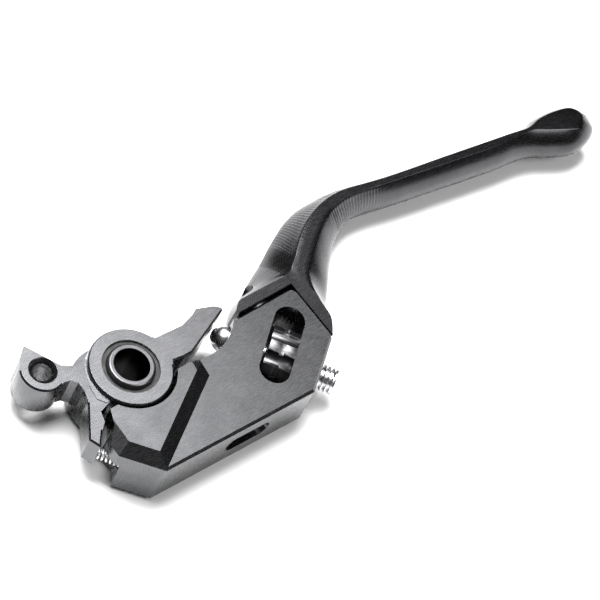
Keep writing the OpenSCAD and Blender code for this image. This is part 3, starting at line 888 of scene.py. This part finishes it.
class LEVER_OT_spindle(bpy.types.Operator):
    """Build the ball-ended spindle with its thread"""

    bl_idname = "lever.spindle"
    bl_label = "Adjuster Spindle"

    def execute(self, context):
        f, s = finishes(), sizes()
        ball = WHEEL_MIDDLE - SPINDLE_AXIS * WHEEL_ALONG * MM
        place = axis_frame(ball, SPINDLE_AXIS)
        neck = math.acos(NECK_RADIUS / BALL_RADIUS)
        profile = []
        for k in range(25):
            a = math.pi - (math.pi - neck) * k / 24
            profile.append((max(BALL_RADIUS * MM * math.sin(a), 1e-5), BALL_RADIUS * MM * math.cos(a)))
        profile += [(NECK_RADIUS * MM, 2.9 * MM), (2.25 * MM, 3.6 * MM)]
        end = STUD_END * MM
        tip = [(2.45 * MM, end - 0.15 * MM), (2.2 * MM, end), (1.2 * MM, end), (0.9 * MM, end - 0.2 * MM)]
        rings = round_rings(profile, place, THREAD_SEGMENTS)
        rings += threaded(place, SPINDLE_RADIUS * MM, s.thread_depth, s.thread_pitch,
                          THREAD_START * MM, end - 0.5 * MM)
        rings += round_rings(tip, place, THREAD_SEGMENTS)
        made = loft("threaded_spindle", rings)
        boolean(made, [key_flat(ball)], "DIFFERENCE")
        smooth_by_angle(made, 38)
        look = turned_metal("spindle_stainless", f.steel, 0.24, "Z", (0, 0, 0), 0.0003)
        dress(made, look, "spindle", ["adjuster_spindle"])
        return {"FINISHED"}


class LEVER_OT_springs(bpy.types.Operator):
    """Wind the preload spring, the detent spring and the fold spring"""

    bl_idname = "lever.springs"
    bl_label = "Springs"

    def execute(self, context):
        f = finishes()
        look = turned_metal("spring_wire", f.steel, 0.42, "Z", (0, 0, 0), 0.0003)
        length = PRELOAD_LENGTH * MM
        middle = node_middle("preload_spring")
        place = axis_frame(middle - SPINDLE_AXIS * length / 2, SPINDLE_AXIS)
        made = coil("preload_coil", place, PRELOAD_RADIUS * MM, PRELOAD_WIRE * MM, length,
                    sizes().coil_turns)
        dress(made, look, "actuator", ["preload_spring"])
        middle = node_middle("detent_spring")
        length = DETENT_LENGTH * MM
        place = axis_frame(middle - SPINDLE_AXIS * length / 2, SPINDLE_AXIS)
        made = coil("detent_coil", place, DETENT_RADIUS * MM, DETENT_WIRE * MM, length, DETENT_TURNS)
        dress(made, look, "lever", ["detent_spring"])
        middle = node_middle("fold_spring")
        low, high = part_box("fold_spring")
        place = axis_frame(Vector((middle.x, low.y, middle.z)), Vector((0, 1, 0)))
        made = coil("fold_coil", place, FOLD_RADIUS * MM, FOLD_WIRE * MM, high.y - low.y, FOLD_TURNS)
        dress(made, look, "blade", ["fold_spring"])
        pins = turned_metal("pin_ground", f.steel, 0.22, "Z", (0, 0, 0), 0.0003)
        for name in ("drive_dowel", "detent_ball", "detent_plug", "spindle_key"):
            finish_node(name, pins)
        return {"FINISHED"}


# ---- stage ----
# The camera's place in metres, and which way its right, its up and its back point.
CAMERA_PLACE = (-0.3744, -0.2050, 0.6328)
CAMERA_RIGHT = (0.7329, -0.6105, 0.3002)
CAMERA_UP = (0.4109, 0.7489, 0.5200)
CAMERA_BACK = (-0.5423, -0.2578, 0.7997)
# Place, target and width of each soft light, in metres.
OVERHEAD = ((0.03, 0.36, 0.90), (0.06, 0.0, 0.0), 0.62)
FRONT = ((0.28, -0.66, 0.84), (0.05, 0.0, 0.0), 0.5)
CARD = ((0.095, 0.09, 0.36), (0.0, -0.01, 0.0), 0.22)
# Light that the pieces mirror, and the backdrop that the camera sees.
DIM_AIR = (0.05, 0.05, 0.052, 1)
PALE_AIR = (0.93, 0.93, 0.93, 1)
# How far the floor lies under the lever, and half its width, in metres.
FLOOR_GAP = 0.00005
FLOOR_REACH = 1.6


class LEVER_OT_stage(bpy.types.Operator):
    """Lay the floor and set the soft lights and the camera"""

    bl_idname = "lever.stage"
    bl_label = "Stage"

    def execute(self, context):
        s = stage_settings()
        low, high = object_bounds()
        level = low[2] - FLOOR_GAP
        reach = FLOOR_REACH
        floor = add_mesh("floor", [(-reach, -reach, level), (reach, -reach, level), (reach, reach, level),
                                   (-reach, reach, level)], [(0, 1, 2, 3)], smooth=False)
        floor.data.materials.append(matt_floor("floor_paper", s.floor))
        floor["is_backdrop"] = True
        soft_light("overhead", *OVERHEAD, s.key_power)
        soft_light("front", *FRONT, s.front_power)
        soft_light("card", *CARD, s.card_power)
        studio_air()
        camera = bpy.data.cameras.new("view")
        camera.sensor_width = 36.0
        camera.lens = s.lens
        camera.clip_start = 0.01
        camera.clip_end = 20.0
        holder = bpy.data.objects.new("view", camera)
        context.scene.collection.objects.link(holder)
        turn = Matrix((CAMERA_RIGHT, CAMERA_UP, CAMERA_BACK)).transposed()
        holder.matrix_world = Matrix.Translation(CAMERA_PLACE) @ turn.to_4x4()
        context.scene.camera = holder
        context.scene.view_settings.view_transform = "Standard"
        return {"FINISHED"}


def soft_light(name, place, target, size, power):
    """A large square soft light aimed at a point."""
    lamp = bpy.data.lights.new(name, "AREA")
    lamp.shape = "SQUARE"
    lamp.size = size
    lamp.energy = power
    holder = bpy.data.objects.new(name, lamp)
    holder.visible_camera = False
    bpy.context.scene.collection.objects.link(holder)
    aim = Vector(target) - Vector(place)
    holder.matrix_world = Matrix.Translation(place) @ aim.to_track_quat("-Z", "Y").to_matrix().to_4x4()


def studio_air():
    """Dim surroundings for the gloss, with a pale backdrop."""
    world = bpy.data.worlds.new("studio")
    bpy.context.scene.world = world
    world.use_nodes = True
    tree = world.node_tree
    tree.nodes.clear()
    out = tree.nodes.new("ShaderNodeOutputWorld")
    mix = tree.nodes.new("ShaderNodeMixShader")
    dim = tree.nodes.new("ShaderNodeBackground")
    pale = tree.nodes.new("ShaderNodeBackground")
    path = tree.nodes.new("ShaderNodeLightPath")
    dim.inputs["Color"].default_value = DIM_AIR
    dim.inputs["Strength"].default_value = 1.0
    pale.inputs["Color"].default_value = PALE_AIR
    tree.links.new(path.outputs["Is Camera Ray"], mix.inputs["Fac"])
    tree.links.new(dim.outputs[0], mix.inputs[1])
    tree.links.new(pale.outputs[0], mix.inputs[2])
    tree.links.new(mix.outputs[0], out.inputs["Surface"])


STEPS = ("body", "actuator", "pivot", "wheel", "spindle", "springs", "blade", "stage")


class LEVER_PT_panel(bpy.types.Panel):
    """Lists the settings and the steps of the lever"""

    bl_idname = "LEVER_PT_panel"
    bl_label = "Clutch Lever"
    bl_space_type = "VIEW_3D"
    bl_region_type = "UI"
    bl_category = "Lever"

    def draw(self, context):
        scene = context.scene
        for group in (scene.lever_sizes, scene.lever_finishes, scene.lever_stage):
            box = self.layout.box()
            for key in group.bl_rna.properties.keys():
                if key not in ("rna_type", "name"):
                    box.prop(group, key)
        for step in STEPS:
            self.layout.operator("lever." + step)


CLASSES = (LeverSizes, LeverFinishes, LeverStage, LEVER_OT_body, LEVER_OT_actuator, LEVER_OT_pivot,
           LEVER_OT_wheel, LEVER_OT_spindle, LEVER_OT_springs, LEVER_OT_blade, LEVER_OT_stage,
           LEVER_PT_panel)


def register():
    """Registers the classes and the scene's settings."""
    for item in CLASSES:
        bpy.utils.register_class(item)
    bpy.types.Scene.lever_sizes = bpy.props.PointerProperty(type=LeverSizes)
    bpy.types.Scene.lever_finishes = bpy.props.PointerProperty(type=LeverFinishes)
    bpy.types.Scene.lever_stage = bpy.props.PointerProperty(type=LeverStage)


def unregister():
    """Removes the settings and the classes."""
    del bpy.types.Scene.lever_stage
    del bpy.types.Scene.lever_finishes
    del bpy.types.Scene.lever_sizes
    for item in reversed(CLASSES):
        bpy.utils.unregister_class(item)


def main():
    """Runs every step."""
    register()
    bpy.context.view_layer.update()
    for step in STEPS:
        getattr(bpy.ops.lever, step)()


if __name__ == "__main__":
    main()
